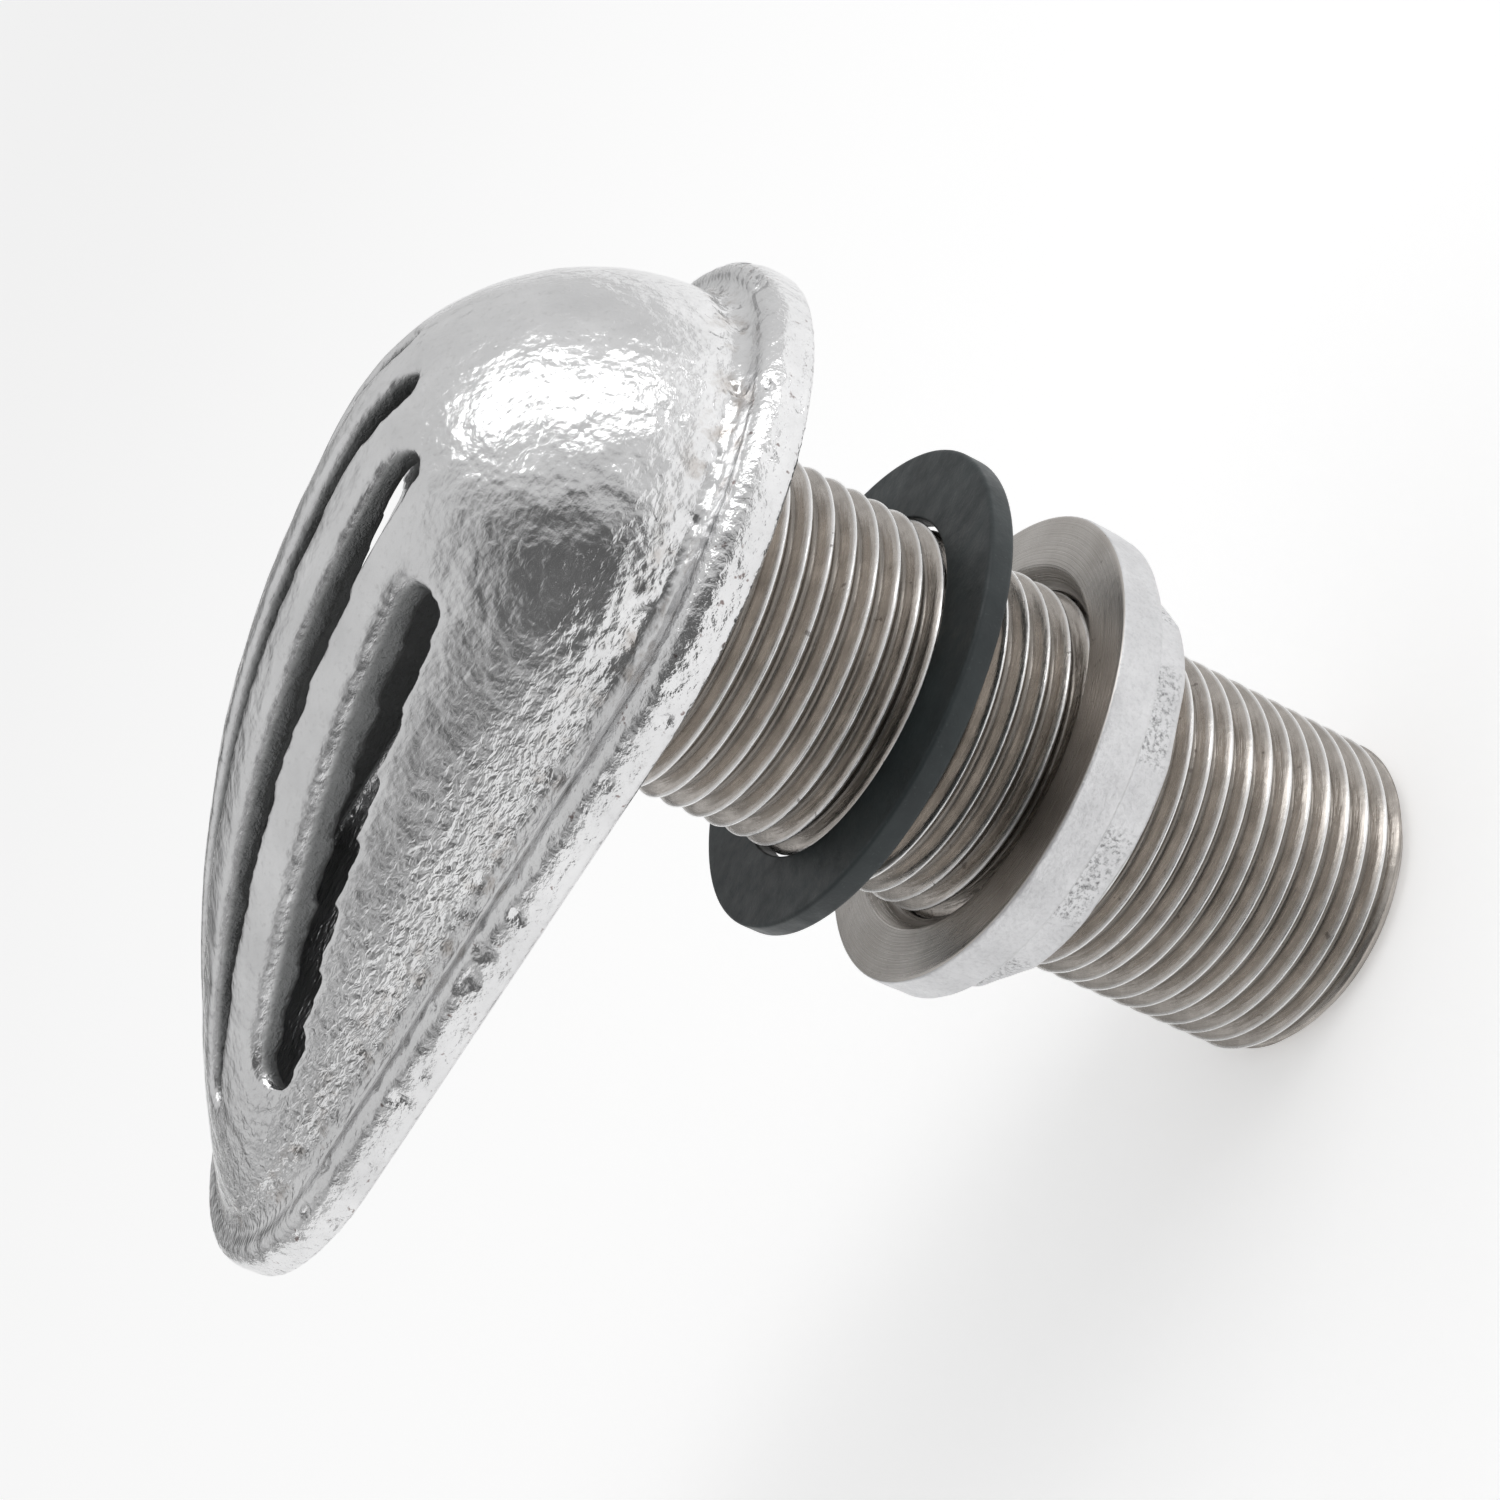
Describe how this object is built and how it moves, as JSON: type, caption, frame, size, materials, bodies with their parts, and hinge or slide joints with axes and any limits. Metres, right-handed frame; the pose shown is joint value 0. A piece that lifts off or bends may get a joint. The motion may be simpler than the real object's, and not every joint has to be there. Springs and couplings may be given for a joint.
{
  "type": "thru hull fitting",
  "caption": "Through-hull water intake with an oval slotted strainer dome, hollow threaded stem, rubber sealing washer and flanged hull nut.",
  "frame": {"origin": "on the stem's axis, in the plane of the flange face that seats on the outside of the hull", "axes": "+Z out of the hull through the strainer dome, so the stem points down -Z; +X along the dome towards its low tail; +Y across the dome"},
  "size_m": [0.11, 0.0588, 0.1062],
  "materials": {
    "cast_steel": "bright as-cast, tumbled",
    "thread_steel": "machined thread",
    "rubber": "smooth moulded, satin",
    "nut_steel": "grainy cast with a turned front face"
  },
  "bodies": {
    "fitting": {"strainer_head": "cast_steel", "threaded_stem": "thread_steel"},
    "washer": {"sealing_washer": "rubber"},
    "nut": {"hull_nut": "nut_steel"}
  },
  "joints": [
    {"name": "washer_slide", "type": "slide", "parent": "fitting", "child": "washer", "axis": [0, 0, 1], "range_m": [0, 0.0218]},
    {"name": "nut_travel", "type": "slide", "parent": "fitting", "child": "nut", "axis": [0, 0, 1], "range_m": [-0.03, 0.0115]}
  ]
}
